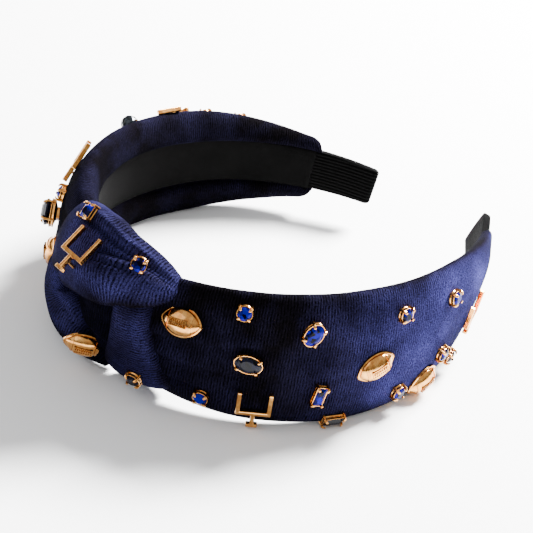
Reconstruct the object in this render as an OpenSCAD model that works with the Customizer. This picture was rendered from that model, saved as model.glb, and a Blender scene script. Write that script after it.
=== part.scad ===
// Wide padded headband with a top knot, velvet cover and sewn-on ornaments.
// It rests on its lower edge at z = 0, with the knot towards -X and the arms opening towards +X.

/* [Band] */
// Length along the band from the middle of the crown to one end
arm_l = 190; // [150:1:230]
// Radius of the bend at the crown
crown_r = 57.8; // [48:0.1:80]
// Radius of the bend half way along the near arm
mid_r_near = 79; // [60:0.1:100]
// Radius of the bend half way along the far arm
mid_r_far = 68; // [60:0.1:100]
// Radius of the bend at the end of the near arm, which is sprung open a little further
tip_r_near = 700; // [100:1:1000]
// Radius of the bend at the end of the far arm
tip_r_far = 102; // [90:0.1:1000]
// How far the ends sag below the crown when the band lies on its edge
droop = 8.7; // [0:0.1:16]
// Outward lean of the upper edge at the crown, in degrees
lean_crown = 2.2; // [-5:0.1:8]
// Outward lean of the upper edge half way along an arm, in degrees
lean_mid = -3; // [-8:0.1:8]
// Outward lean of the upper edge at the end of the near arm, in degrees
lean_near = 21; // [-8:0.1:25]
// Outward lean of the upper edge at the end of the far arm, in degrees
lean_far = 14; // [-8:0.1:25]
// How far the hard strip sits behind the middle of the knot
crown_x = 7; // [5:0.5:10]
// Height of the band's middle line above the surface it rests on
rest_h = 25.4; // [24:0.1:34]

/* [Cover] */
// Width of the cover where it is gathered into the knot
w_knot = 40; // [32:0.5:52]
// Width of the cover just clear of the knot
w_front = 46; // [38:0.1:60]
// Width of the cover at its widest, half way along an arm
w_side = 49; // [40:0.1:60]
// Width of the cover two thirds of the way along an arm
w_back = 45; // [36:0.1:56]
// Width of the cover where it ends
w_end = 23.5; // [20:0.5:34]
// Half of the padded thickness
pad_t = 5.2; // [3.5:0.05:7]
// Half of the padded thickness where the cover ends
pad_end = 3.2; // [2.8:0.05:4]
// Distance of the middle of the padding from the strip's bend line
pad_c = 1.8; // [1.2:0.01:2]
// Length of the cover along the band from the crown
cover_l = 168; // [140:1:180]
// Thickness of the velvet
velvet_t = 1; // [0.6:0.1:1.5]

/* [Strip and lining] */
// Thickness of the hard strip
core_t = 1.6; // [1.2:0.1:2]
// How far the strip reaches under the rolled edge of the cover
core_lap = 1.5; // [0.5:0.1:3]
// Width of the lining at the crown
lin_crown = 22; // [18:0.1:26]
// Width of the lining half way along an arm
lin_mid = 20.8; // [16:0.1:26]
// Width of the lining at the ends
lin_tip = 13.6; // [10:0.1:18]
// Thickness of the lining ribbon
lin_t = 0.5; // [0.3:0.1:1]
// Thickness of the ribbon folded over each end
cap_t = 0.8; // [0.5:0.1:1.2]
// Number of ribs across each end ribbon
cap_ribs = 22; // [8:1:30]

/* [Knot] */
// Largest half width of the upper fold
top_hw = 16; // [10:0.5:20]
// Largest half thickness of the upper fold
top_ht = 6.5; // [4:0.1:9]
// Largest half width of the fold on the far side
side_hw = 10; // [6:0.5:14]
// Largest half width of the fold under the knot
under_hw = 14; // [10:0.5:20]
// Half thickness of the two lower folds
low_ht = 5.5; // [3.5:0.1:8]

/* [Ornaments] */
// Length of a football
ball_l = 13.5; // [9:0.1:16]
// Width of a football
ball_w = 9; // [6:0.1:11]
// Height of a football above the velvet
ball_h = 3.6; // [2:0.1:5]
// Width across a goal post
goal_w = 11.5; // [8:0.1:15]
// Height of a goal post's uprights above its crossbar
goal_up = 8.5; // [4:0.1:10]
// Length of a goal post's stem below its crossbar
goal_stem = 5; // [3:0.1:8]
// Thickness of a goal post's bars
goal_bar = 1.6; // [1:0.1:2.5]
// Diameter of a round stone
round_d = 5; // [3.5:0.1:7]
// Length of an oval stone
oval_l = 8; // [6:0.1:11]
// Width of an oval stone
oval_w = 6; // [4:0.1:8]
// Length of a long stone
long_l = 7; // [5:0.1:9]
// Width of a long stone
long_w = 3.4; // [2.5:0.1:5]
// Width across the flats of the octagonal stone
octagon_w = 8.5; // [6:0.1:11]
// Diameter of the faceted pearl
pearl_d = 6.5; // [4:0.1:8]
// Height of a setting's wall
set_h = 2.2; // [1.5:0.1:3.5]
// Thickness of a setting's wall
set_t = 0.5; // [0.3:0.1:0.9]
// Diameter of a claw
claw_d = 0.9; // [0.6:0.1:1.3]
// Clearance of an ornament's back from the velvet
sit = 0.15; // [0.05:0.05:0.5]

/* [Hidden] */
// Clearance between neighbouring layers
gap = 0.15;
// The three terms of a parabola through its values at the crown, half way and at the end
function parabola(crown, mid, end) = let(c = 2 * (end + crown - 2 * mid)) [crown, end - crown - c, c];
near_bend = parabola(1 / crown_r, 1 / mid_r_near, 1 / tip_r_near);
far_bend = parabola(1 / crown_r, 1 / mid_r_far, 1 / tip_r_far);
near_lean = parabola(lean_crown, lean_mid, lean_near);
far_lean = parabola(lean_crown, lean_mid, lean_far);
// Faces of the hard strip, measured outward from its bend line
core_in = 1.1;
core_out = core_in + core_t;
lin_in = core_in - gap / 2 - lin_t;
// How far out from a stone its claws stand
claw_reach = 0.15 + claw_d / 2;
// Steps along an arm for the bend table
steps = 95;
ds = arm_l / steps;
// Where each ornament sits: along the band, up across it, and its turn in degrees
at_n1 = [-38, 18, 0];
at_n2 = [-58, 13, 60];
at_n3 = [-41, 1, -8];
at_n4 = [-30, -16, 0];
at_n5 = [-63, -10, 80];
at_n6 = [-70, -21, 0];
at_n7 = [-89, 15, 0];
at_n8 = [-93, -16, 0];
at_n9 = [-113, 13, 0];
at_n10 = [-113, -9, 0];
at_n11 = [-122, -15, 0];
at_f1 = [125, 15, 0];
at_f2 = [138, 13, 0];
at_f3 = [49, 13, 0];
at_f4 = [50, 4, 0];
at_f5 = [72, -14, 70];
at_f6 = [90, -12, 0];
at_f7 = [104, 0, 0];
at_f8 = [130, -3, 0];
at_pearl = [87, 20, 0];
// On the knot: along, up, outward, then tilt, turn and spin
at_k1 = [14, 31, 12, 40, 5, 10];
at_k2 = [-8, 28, 11.2, 35, -15, 0];
at_k3 = [-12, -14, 13.6, -12, 0, 0];
gold = [0.90, 0.70, 0.50];
navy = [0.08, 0.09, 0.28];
blue = [0.05, 0.04, 0.60];
dark = [0.03, 0.03, 0.12];
black = [0.06, 0.06, 0.07];

// The piece to draw, or "all"

function unit(v) = v / norm(v);
function sgn(v) = v < 0 ? -1 : 1;

// Along the band s runs from the crown, and u = s / arm_l; both are negative on the near arm
// Heading of the bend line in degrees away from the crown's, a fraction u of the way along
function heading(u) = let(k = u < 0 ? near_bend : far_bend, a = abs(u))
  arm_l * (k[0] * a + k[1] * a * a / 2 + k[2] * a * a * a / 3) * 180 / PI;

// The bend line of one arm, integrated from the crown
function trace(side) = [for (i = 0, x = 0, y = 0; i <= steps;
  x = x + ds * sin(heading(side * (i + 0.5) / steps)),
  y = y + ds * cos(heading(side * (i + 0.5) / steps)),
  i = i + 1) [i * ds, x, y]];
near_line = trace(-1);
far_line = trace(1);
near_x = [for (p = near_line) [p[0], p[1]]];
near_y = [for (p = near_line) [p[0], p[2]]];
far_x = [for (p = far_line) [p[0], p[1]]];
far_y = [for (p = far_line) [p[0], p[2]]];

function lean(u) = let(g = u < 0 ? near_lean : far_lean, a = abs(u)) g[0] + g[1] * a + g[2] * a * a;
function flow(u) = unit([sgn(u) * sin(heading(u)), cos(heading(u)), -2 * droop * u / arm_l]);
function level(u) = [-cos(heading(u)), sgn(u) * sin(heading(u)), 0];
function upright(u) = unit(cross(flow(u), level(u)));
// Outward direction and upward direction of the band at a station
function out_dir(u) = level(u) * cos(lean(u)) - upright(u) * sin(lean(u));
function up_dir(u) = upright(u) * cos(lean(u)) + level(u) * sin(lean(u));
function station(s) = [crown_x + lookup(abs(s), s < 0 ? near_x : far_x),
  sgn(s) * lookup(abs(s), s < 0 ? near_y : far_y), rest_h - droop * s * s / arm_l / arm_l];
// A point on the band: s along it, n outward, z up across it
function at(s, n, z) = station(s) + out_dir(s / arm_l) * n + up_dir(s / arm_l) * z;

// Width of the cover, the lining and the strip a fraction u of the way along an arm
function w_plain(u) = lookup(u, [[0, w_knot], [0.15, w_front], [0.4, w_side], [0.65, w_back],
  [cover_l / arm_l, w_end]]);
function half_w(u) = (w_plain(u - 0.05) + 2 * w_plain(u) + w_plain(u + 0.05)) / 8;
function lin_hw(u) = lookup(u, [[0, lin_crown], [0.5, lin_mid], [1, lin_tip]]) / 2;
function ease(x) = x < 0 ? 0 : x > 1 ? 1 : x * x * (3 - 2 * x);
function core_hw(u) = lin_hw(u) + core_lap - (core_lap + cap_t + gap) * ease((u - 0.7) / 0.18);
function half_t(u) = pad_t + (pad_end - pad_t) * ease((u * arm_l - cover_l + 25) / 25);
function lift(p, z) = [p[0], p[1], max(p[2], z)];

// A point of the padded oval, drawn in by d, at an angle f round it
function oval_n(u, d, f) = pad_c + (half_t(u) - d) * cos(f);
function oval_z(u, d, f) = (half_w(u) - d) * sgn(sin(f)) * pow(abs(sin(f)), 1 / 1.2);
// The angle at which the padded oval, drawn in by d, comes in to the height z on its inner side
function turn_in(u, d, z) = 180 - asin(pow(z / (half_w(u) - d), 1.2));

// Outer and inner lines of the velvet's open section
arc = 16;
function skin_out(s, u, e) = concat(
  [lift(at(s, lin_in + 0.4, -lin_hw(u) - gap), 0), lift(at(s, -1.1, -lin_hw(u) - gap - 0.2), 0)],
  [for (i = [0 : arc], f = [e * (2 * i / arc - 1)]) lift(at(s, oval_n(u, 0, f), oval_z(u, 0, f)), 0)],
  [lift(at(s, -1.1, lin_hw(u) + gap + 0.2), 0), lift(at(s, lin_in + 0.4, lin_hw(u) + gap), 0)]);
function skin_in(s, u, e) = concat(
  [lift(at(s, lin_in + 0.4, -lin_hw(u) - gap - velvet_t), 0.6),
    lift(at(s, -0.5, -lin_hw(u) - gap - 0.2 - velvet_t), 0.6)],
  [for (i = [0 : arc], f = [e * (2 * i / arc - 1)])
    lift(at(s, oval_n(u, velvet_t, f), oval_z(u, velvet_t, f)), velvet_t * 0.6)],
  [lift(at(s, -0.5, lin_hw(u) + gap + 0.2 + velvet_t), 0.6),
    lift(at(s, lin_in + 0.4, lin_hw(u) + gap + velvet_t), 0.6)]);
function skin_ring(s, u) = concat(skin_out(s, u, turn_in(u, 0, lin_hw(u) + 1.1)),
  skin_in(s, u, turn_in(u, velvet_t, lin_hw(u) + 2.1)));

// Outer and inner lines of the sponge's section
foam = 10;
pad_in = velvet_t + gap;
function foam_core(s, u, q) = at(s,
  abs(q) < 0.55 ? core_out + gap : core_out + gap - (core_t + gap) * (abs(q) - 0.55) / 0.45,
  sgn(q) * (core_hw(u) + gap) * sin(min(90, 90 * abs(q) / 0.55)));
function foam_line(s, u, e) = concat(
  [for (i = [0 : foam]) lift(at(s, oval_n(u, pad_in, e * (2 * i / foam - 1)),
    oval_z(u, pad_in, e * (2 * i / foam - 1))), velvet_t * 0.6 + gap)],
  [for (i = [0 : foam]) foam_core(s, u, 2 * i / foam - 1)]);
function foam_ring(s, u) = foam_line(s, u, turn_in(u, pad_in, max(lin_hw(u) + 2.25, core_hw(u) + 0.9)));

// Faces of a bent channel: n rings, each with m points on one line and then m on the other
function quad(a, b, c, d) = [[a, b, c], [a, c, d]];
function channel_faces(n, m) = [
  for (r = [0 : n - 2], i = [0 : m - 2], f = quad(r * 2 * m + i, (r + 1) * 2 * m + i,
    (r + 1) * 2 * m + i + 1, r * 2 * m + i + 1)) f,
  for (r = [0 : n - 2], i = [0 : m - 2], f = quad(r * 2 * m + m + i + 1, (r + 1) * 2 * m + m + i + 1,
    (r + 1) * 2 * m + m + i, r * 2 * m + m + i)) f,
  for (r = [0 : n - 2], f = quad(r * 2 * m + m, (r + 1) * 2 * m + m, (r + 1) * 2 * m, r * 2 * m)) f,
  for (r = [0 : n - 2], f = quad(r * 2 * m + m - 1, (r + 1) * 2 * m + m - 1,
    (r + 1) * 2 * m + 2 * m - 1, r * 2 * m + 2 * m - 1)) f,
  for (i = [0 : m - 2], f = quad(i, i + 1, m + i + 1, m + i)) f,
  for (i = [0 : m - 2], f = quad((n - 1) * 2 * m + m + i, (n - 1) * 2 * m + m + i + 1,
    (n - 1) * 2 * m + i + 1, (n - 1) * 2 * m + i)) f];
// Faces of a closed bar: n rings of m points, then the middle of each end
function bar_faces(n, m) = [
  for (r = [0 : n - 2], i = [0 : m - 1], f = quad(r * m + i, (r + 1) * m + i,
    (r + 1) * m + (i + 1) % m, r * m + (i + 1) % m)) f,
  for (i = [0 : m - 1]) [i, (i + 1) % m, n * m],
  for (i = [0 : m - 1]) [(n - 1) * m + (i + 1) % m, (n - 1) * m + i, n * m + 1]];
function middle(r) = [for (k = [0 : 2]) (min([for (p = r) p[k]]) + max([for (p = r) p[k]])) / 2];

module channel(rings) {
  polyhedron([for (r = rings) each r], channel_faces(len(rings), len(rings[0]) / 2), 12);
}

module bar(rings) {
  polyhedron(concat([for (r = rings) each r], [middle(rings[0]), middle(rings[len(rings) - 1])]),
    bar_faces(len(rings), len(rings[0])), 12);
}

// Stations from one distance along the band to another
function stations(a, b, n) = [for (i = [0 : n]) a + (b - a) * i / n];
function box_ring(s, a, b, h) = [at(s, a, -h), at(s, b, -h), at(s, b, h), at(s, a, h)];

module velvet_far() {
  color(navy) channel([for (s = stations(0.1, cover_l, 24)) skin_ring(s, s / arm_l)]);
}

module velvet_near() {
  color(navy) channel([for (s = stations(-cover_l, -0.1, 24)) skin_ring(s, -s / arm_l)]);
}

// The space taken by the padded band near the knot
module band_space() {
  bar([for (s = stations(-67.2, 67.2, 20)) [for (i = [0 : 23])
    at(s, oval_n(abs(s) / arm_l, -0.1, i * 15), oval_z(abs(s) / arm_l, -0.1, i * 15))]]);
}

module sponge() {
  color([0.86, 0.84, 0.78]) channel([for (s = stations(-160, 160, 42)) foam_ring(s, abs(s) / arm_l)]);
}

module core() {
  color([0.12, 0.12, 0.13]) bar([for (s = stations(-arm_l, arm_l, 64))
    box_ring(s, core_in, core_out, core_hw(abs(s) / arm_l))]);
}

module lining() {
  color(black) bar([for (s = stations(-cover_l + 1, cover_l - 1, 56))
    box_ring(s, lin_in, lin_in + lin_t, lin_hw(abs(s) / arm_l) - 0.1)]);
}

// Ribbed ribbon folded over one end of the strip
function rib(i) = i % 2 == 0 ? 0.12 : 0;
function cap_ring(s, h) = concat(
  [for (i = [0 : 2 * cap_ribs]) at(s, core_out + gap + cap_t - rib(i), -h + h * i / cap_ribs)],
  [for (i = [0 : 2 * cap_ribs]) at(s, core_in - gap - cap_t + rib(i), h - h * i / cap_ribs)]);
module cap(side) {
  first = side < 0 ? -arm_l - gap - cap_t : cover_l + 0.3;
  last = side < 0 ? -cover_l - 0.3 : arm_l + gap + cap_t;
  hole_first = side < 0 ? -arm_l - gap : cover_l - 2;
  hole_last = side < 0 ? -cover_l + 2 : arm_l + gap;
  color(black) pressed() {
    bar([for (s = stations(first, last, 5)) cap_ring(s, core_hw(abs(s) / arm_l) + gap + cap_t)]);
    bar([for (s = stations(hole_first, hole_last, 5))
      box_ring(s, core_in - gap, core_out + gap, core_hw(abs(s) / arm_l) + gap)]);
  }
}

module tip_far() {
  cap(1);
}

module tip_near() {
  cap(-1);
}

// A fold of the knot: four control values, each [along, up, outward, half width, half thickness]
function mix(c, t) = c[0] * pow(1 - t, 3) + c[1] * 3 * t * pow(1 - t, 2) + c[2] * 3 * t * t * (1 - t)
  + c[3] * pow(t, 3);
function swell(t) = sqrt(max(0.05, 1 - pow(abs(2 * t - 1), 5)));
function fold_dir(c, t) = let(d = mix(c, t + 0.01) - mix(c, t - 0.01)) unit([d[0], d[1]]);
function fold_ring(c, t) = let(q = mix(c, t), d = fold_dir(c, t), w = swell(t)) [for (i = [0 : 15])
  let(a = -i * 22.5, across = q[3] * w * cos(a))
  at(q[0] - d[1] * across, q[2] + q[4] * w * sin(a), q[1] + d[0] * across)];

module fold(c) {
  difference() {
    bar([for (i = [0 : 16]) fold_ring(c, i / 16)]);
    translate([-100, -100, -60]) cube([200, 200, 60]);
  }
}

module top_fold() {
  fold([[33, 8, 4, top_hw * 0.8, top_ht * 0.8], [15, 25, 8, top_hw * 1.25, top_ht * 1.15],
    [-6, 23, 8, top_hw * 0.55, top_ht], [-25, 17, 1, top_hw * 0.15, top_ht * 0.5]]);
}

module side_fold() {
  fold([[20, 4, 6, side_hw * 0.8, low_ht * 0.8], [35, -4, 10, side_hw * 1.3, low_ht * 1.3],
    [37, -22, 10, side_hw * 1.2, low_ht * 1.3], [20, -30, 5, side_hw * 0.7, low_ht * 0.8]]);
}

module under_fold() {
  fold([[-3, 17, 4, under_hw * 0.4, low_ht * 0.8], [-5, 4, 9, under_hw * 0.65, low_ht * 1.3],
    [-3, -10, 7, under_hw, low_ht * 1.3], [-8, -28, 6, under_hw * 0.95, low_ht * 1.15]]);
}

// The folds are soft shapes that meet along free curves, so each is cut out as one mesh
module pressed() {
  resize([0, 0, 0]) difference() {
    children(0);
    children([1 : $children - 1]);
  }
}

module wrap_top() {
  color(navy) pressed() {
    top_fold();
    band_space();
  }
}

module wrap_under() {
  color(navy) pressed() {
    under_fold();
    band_space();
    top_fold();
  }
}

module wrap_side() {
  color(navy) pressed() {
    side_fold();
    band_space();
    top_fold();
    under_fold();
  }
}

module knot_core() {
  color(navy) pressed() {
    translate(at(6, 5, 0)) scale([7, 24, 21]) sphere(1, $fn = 20);
    band_space();
    top_fold();
    under_fold();
    side_fold();
  }
}

// Height and slope of the cover's outer face, z up across it
function hump(s, z) = pow(max(0.05, 1 - pow(abs(z) / half_w(abs(s) / arm_l), 2.4)), 0.5);
function face_n(s, z) = pad_c + half_t(abs(s) / arm_l) * hump(s, z);
function slope(s, z) = let(u = abs(s) / arm_l)
  1.2 * half_t(u) * sgn(z) * pow(abs(z) / half_w(u), 1.4) / half_w(u) / hump(s, z);
function face_tilt(s, z) = atan(slope(s, z)) - lean(s / arm_l);
function aim(s) = 180 - sgn(s) * heading(s / arm_l);

// Stand something on the cover, or on the knot at a given height outward
module perch(s, z, spin = 0) {
  translate(at(s, face_n(s, z) + sit, z)) rotate([90 - face_tilt(s, z), 0, aim(s) + 90])
    rotate([0, 0, spin]) children();
}

module knot_perch(s, z, n, tilt, turn, spin = 0) {
  translate(at(s, n, z)) rotate([90 - tilt, 0, aim(s) + 90 + turn]) rotate([0, 0, spin]) children();
}

// Domed football with a raised seam of laces
module football() {
  color(gold) intersection() {
    union() {
      scale([ball_l / 2, ball_w / 2, ball_h]) rotate([0, 90, 0]) rotate_extrude($fn = 16)
        polygon([for (a = [-90 : 22.5 : 90]) [cos(a) * (1 - 0.12 * pow(a / 90, 2)), sin(a)]]);
      translate([-ball_l * 0.2, -0.3, 0]) cube([ball_l * 0.4, 0.6, ball_h + 0.25]);
      for (k = [-2 : 2]) translate([k * ball_l * 0.08 - 0.25, -1, 0]) cube([0.5, 2, ball_h + 0.2]);
    }
    translate([-ball_l, -ball_w, 0]) cube([ball_l * 2, ball_w * 2, ball_h * 2]);
  }
}

// Goal post: crossbar, two uprights, a stem and a foot
module goal() {
  color(gold) {
    translate([-goal_w / 2, -goal_bar / 2, 0]) cube([goal_w, goal_bar, goal_bar]);
    translate([-goal_w / 2, -goal_bar / 2, 0]) cube([goal_bar, goal_up + goal_bar, goal_bar]);
    translate([goal_w / 2 - goal_bar, -goal_bar / 2, 0]) cube([goal_bar, goal_up + goal_bar, goal_bar]);
    translate([-goal_bar / 2, -goal_stem, 0]) cube([goal_bar, goal_stem, goal_bar]);
    translate([-goal_bar * 1.1, -goal_stem - goal_bar, 0]) cube([goal_bar * 2.2, goal_bar, goal_bar]);
  }
}

// Cut stone with a flat table, a crown and a shallow back, inside its setting
module disc(l, w, h, low, high, sides) {
  if (l == w) cylinder(h = h, d1 = l * low, d2 = l * high, $fn = sides);
  else resize([l * max(low, high), w * max(low, high), 0])
    cylinder(h = h, d1 = l * low, d2 = l * high, $fn = sides);
}

module stone(l, w, sides, tone) {
  color(tone) translate([0, 0, 0.5]) {
    disc(l, w, 0.9, 0.7, 1, sides);
    translate([0, 0, 0.9]) disc(l, w, 0.4, 1, 1, sides);
    translate([0, 0, 1.3]) disc(l, w, 1.1, 1, 0.55, sides);
  }
}

module setting(l, w, sides) {
  difference() {
    disc(l + 2 * set_t + 0.2, w + 2 * set_t + 0.2, set_h, 1, 1, sides);
    translate([0, 0, 0.4]) disc(l + 0.2, w + 0.2, set_h, 1, 1, sides);
  }
  for (a = [sides == 4 ? 0 : 45 : 90 : 315])
    translate([(l / 2 + claw_reach) * cos(a), (w / 2 + claw_reach) * sin(a), 0])
      cylinder(h = set_h + 0.6, d = claw_d, $fn = 16);
}

// Long stone with straight sides and its setting
module long_stone(tone) {
  color(tone) translate([-long_l / 2, -long_w / 2, 0.5]) {
    cube([long_l, long_w, 1.2]);
    translate([0.5, 0.5, 1.2]) cube([long_l - 1, long_w - 1, 0.6]);
  }
}

module long_setting() {
  difference() {
    translate([-long_l / 2 - set_t - 0.1, -long_w / 2 - set_t - 0.1, 0])
      cube([long_l + 2 * set_t + 0.2, long_w + 2 * set_t + 0.2, set_h]);
    translate([-long_l / 2 - 0.1, -long_w / 2 - 0.1, 0.4]) cube([long_l + 0.2, long_w + 0.2, set_h]);
  }
  for (x = [-1, 1], y = [-1, 1]) translate([x * (long_l / 2 + 0.3), y * (long_w / 2 + 0.3), 0])
    cylinder(h = set_h + 0.6, d = claw_d, $fn = 16);
}

module sit_at(p) {
  perch(p[0], p[1], p[2]) children();
}

module knot_at(p) {
  knot_perch(p[0], p[1], p[2], p[3], p[4], p[5]) children();
}

module stone_n1() {
  sit_at(at_n1) stone(round_d, round_d, 16, blue);
}

module stone_n2() {
  sit_at(at_n2) stone(oval_l, oval_w, 20, blue);
}

module stone_n3() {
  sit_at(at_n3) stone(oval_l * 1.15, oval_w, 20, dark);
}

module stone_n4() {
  sit_at(at_n4) stone(round_d, round_d, 16, blue);
}

module stone_n5() {
  sit_at(at_n5) long_stone(blue);
}

module stone_n6() {
  sit_at(at_n6) long_stone(dark);
}

module stone_n7() {
  sit_at(at_n7) stone(round_d, round_d, 16, blue);
}

module stone_n8() {
  sit_at(at_n8) stone(round_d, round_d, 16, blue);
}

module stone_n9() {
  sit_at(at_n9) stone(round_d, round_d, 16, blue);
}

module stone_n10() {
  sit_at(at_n10) stone(round_d, round_d, 16, blue);
}

module stone_n11() {
  sit_at(at_n11) stone(round_d, round_d, 16, dark);
}

module stone_f1() {
  sit_at(at_f1) stone(round_d, round_d, 16, blue);
}

module stone_f2() {
  sit_at(at_f2) stone(round_d, round_d, 16, blue);
}

module stone_f3() {
  sit_at(at_f3) stone(round_d, round_d, 16, blue);
}

module stone_f4() {
  sit_at(at_f4) stone(octagon_w, octagon_w, 8, dark);
}

module stone_f5() {
  sit_at(at_f5) stone(oval_l, oval_w, 20, blue);
}

module stone_f6() {
  sit_at(at_f6) stone(round_d, round_d, 16, dark);
}

module stone_f7() {
  sit_at(at_f7) long_stone(blue);
}

module stone_f8() {
  sit_at(at_f8) stone(round_d, round_d, 16, blue);
}

module stone_k1() {
  knot_at(at_k1) rotate([0, 0, 45]) stone(round_d, round_d, 4, blue);
}

module stone_k2() {
  knot_at(at_k2) stone(round_d, round_d, 16, blue);
}

module stone_k3() {
  knot_at(at_k3) stone(round_d, round_d, 16, dark);
}

module pearl() {
  color([0.1, 0.1, 0.12]) sit_at(at_pearl) translate([0, 0, pearl_d / 2]) sphere(d = pearl_d, $fn = 14);
}

module settings_near() {
  color(gold) {
    sit_at(at_n1) setting(round_d, round_d, 16);
    sit_at(at_n2) setting(oval_l, oval_w, 20);
    sit_at(at_n3) setting(oval_l * 1.15, oval_w, 20);
    sit_at(at_n4) setting(round_d, round_d, 16);
    sit_at(at_n5) long_setting();
    sit_at(at_n6) long_setting();
    sit_at(at_n7) setting(round_d, round_d, 16);
    sit_at(at_n8) setting(round_d, round_d, 16);
    sit_at(at_n9) setting(round_d, round_d, 16);
    sit_at(at_n10) setting(round_d, round_d, 16);
    sit_at(at_n11) setting(round_d, round_d, 16);
  }
}

module settings_knot() {
  color(gold) {
    knot_at(at_k1) rotate([0, 0, 45]) setting(round_d, round_d, 4);
    knot_at(at_k2) setting(round_d, round_d, 16);
    knot_at(at_k3) setting(round_d, round_d, 16);
  }
}

module settings_far() {
  color(gold) {
    sit_at(at_f1) setting(round_d, round_d, 16);
    sit_at(at_f2) setting(round_d, round_d, 16);
    sit_at(at_f3) setting(round_d, round_d, 16);
    sit_at(at_f4) setting(octagon_w, octagon_w, 8);
    sit_at(at_f5) setting(oval_l, oval_w, 20);
    sit_at(at_f6) setting(round_d, round_d, 16);
    sit_at(at_f7) long_setting();
    sit_at(at_f8) setting(round_d, round_d, 16);
  }
}

module football_1() {
  perch(-21, 10, -12) football();
}

module football_2() {
  perch(-81, -2, 25) football();
}

module football_3() {
  knot_perch(7, -13, 14, -15, 0, -35) football();
}

module football_4() {
  perch(47, -9, 70) football();
}

module football_5() {
  perch(-106, -17.8, 20) football();
}

module football_6() {
  perch(76, 4, 30) football();
}

module goal_1() {
  perch(-45, -16, 3) goal();
}

module goal_2() {
  perch(-135, -5, 10) goal();
}

module goal_3() {
  knot_perch(13, 17, 18, 30, 5, -15) goal();
}

module goal_4() {
  perch(60, 20, 25) goal();
}

module goal_5() {
  perch(112, 14, -90) goal();
}

core();
sponge();
velvet_near();
velvet_far();
knot_core();
wrap_top();
wrap_side();
wrap_under();
lining();
tip_near();
tip_far();
settings_near();
settings_knot();
settings_far();
football_1();
football_2();
football_3();
football_4();
football_5();
football_6();
goal_1();
goal_2();
goal_3();
goal_4();
goal_5();
stone_n1();
stone_n2();
stone_n3();
stone_n4();
stone_n5();
stone_n6();
stone_n7();
stone_n8();
stone_n9();
stone_n10();
stone_n11();
stone_k1();
stone_k2();
stone_k3();
stone_f1();
stone_f2();
stone_f3();
stone_f4();
stone_f5();
stone_f6();
stone_f7();
stone_f8();
pearl();
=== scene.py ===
import math

import bpy
import numpy as np
from mathutils import Matrix, Vector
from mathutils.bvhtree import BVHTree


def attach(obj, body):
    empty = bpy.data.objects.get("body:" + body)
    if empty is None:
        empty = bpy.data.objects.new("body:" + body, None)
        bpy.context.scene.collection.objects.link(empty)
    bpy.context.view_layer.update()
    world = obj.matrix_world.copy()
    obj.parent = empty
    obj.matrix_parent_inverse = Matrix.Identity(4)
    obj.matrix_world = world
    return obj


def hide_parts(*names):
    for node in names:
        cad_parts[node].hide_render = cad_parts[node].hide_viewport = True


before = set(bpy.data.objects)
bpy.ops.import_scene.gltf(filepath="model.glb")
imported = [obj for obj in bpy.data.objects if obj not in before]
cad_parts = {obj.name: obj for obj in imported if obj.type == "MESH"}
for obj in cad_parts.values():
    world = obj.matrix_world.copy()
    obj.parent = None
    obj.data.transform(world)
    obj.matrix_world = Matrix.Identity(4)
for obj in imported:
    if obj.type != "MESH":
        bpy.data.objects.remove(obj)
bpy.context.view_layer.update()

# ---------------------------------------------------------------- the band, in metres
MM = 0.001
# length of one arm along the bend line, and of its velvet cover
ARM, COVER = 190 * MM, 168 * MM
# place of the bend line at the crown, and how far it droops by the tips
CROWN_X, REST_H, DROOP = 7 * MM, 25.4 * MM, 8.7 * MM
# curvature in 1/mm and lean in degrees at the crown, half way and at the tip of each arm
NEAR_BEND, FAR_BEND = (1 / 57.8, 1 / 79, 1 / 700), (1 / 57.8, 1 / 68, 1 / 102)
NEAR_LEAN, FAR_LEAN = (2.2, -3, 21), (2.2, -3, 14)
# full width of the cover at places along the arm
COVER_STATIONS = (0.0, 0.15, 0.4, 0.65, COVER / ARM)
COVER_WIDTHS = (40 * MM, 46 * MM, 49 * MM, 45 * MM, 23.5 * MM)
# half thickness of the padding along most of the arm and at its end, and its middle
PAD, PAD_END, PAD_C = 5.2 * MM, 3.2 * MM, 1.8 * MM
# full width of the lining at the crown, half way and at the tip, and its middle surface
LINING_WIDTHS = (22 * MM, 20.8 * MM, 13.6 * MM)
LINING_N = 0.35 * MM
# inner and outer face of the hidden strip, how far its edge passes the lining, and its ribbon's cover
CORE_IN, CORE_OUT = 1.1 * MM, 2.7 * MM
CORE_MIDDLE, CORE_HALF = (CORE_IN + CORE_OUT) / 2, (CORE_OUT - CORE_IN) / 2
CORE_LAP, CORE_TAPER = 1.5 * MM, 2.45 * MM
CAP = 0.95 * MM
# the cloth's clearance above the surface it rests on
FLOOR_GAP = 0.3 * MM
# the side of the crown an arm is on
NEAR, FAR = -1, 1


def quadratic(start, middle, end, u):
    """The parabola through three values at u = 0, 1/2 and 1."""
    b = 2 * (end + start - 2 * middle)
    return start + (end - start - b) * u + b * u * u


def heading(u, bend):
    """Angle the bend line has turned, in radians: its curvature is a parabola in u, so this is
    the arm's length times the integral of that parabola."""
    k0, km, k1 = (k / MM for k in bend)
    b = 2 * (k1 + k0 - 2 * km)
    return ARM * (k0 * u + (k1 - k0 - b) * u**2 / 2 + b * u**3 / 3)


TABLE_U = np.linspace(0, 1.05, 2101)


def trace(bend):
    """Bend line of one arm as tables of x and y against u: running sums of sin and cos of the heading."""
    mid = heading((TABLE_U[1:] + TABLE_U[:-1]) / 2, bend)
    step = ARM * TABLE_U[1]
    return [np.concatenate([[0], np.cumsum(f(mid)) * step]) for f in (np.sin, np.cos)]


NEAR_LINE, FAR_LINE = trace(NEAR_BEND), trace(FAR_BEND)


def unit(v):
    """Vectors scaled to length one."""
    return v / np.linalg.norm(v, axis=-1, keepdims=True)


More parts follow.
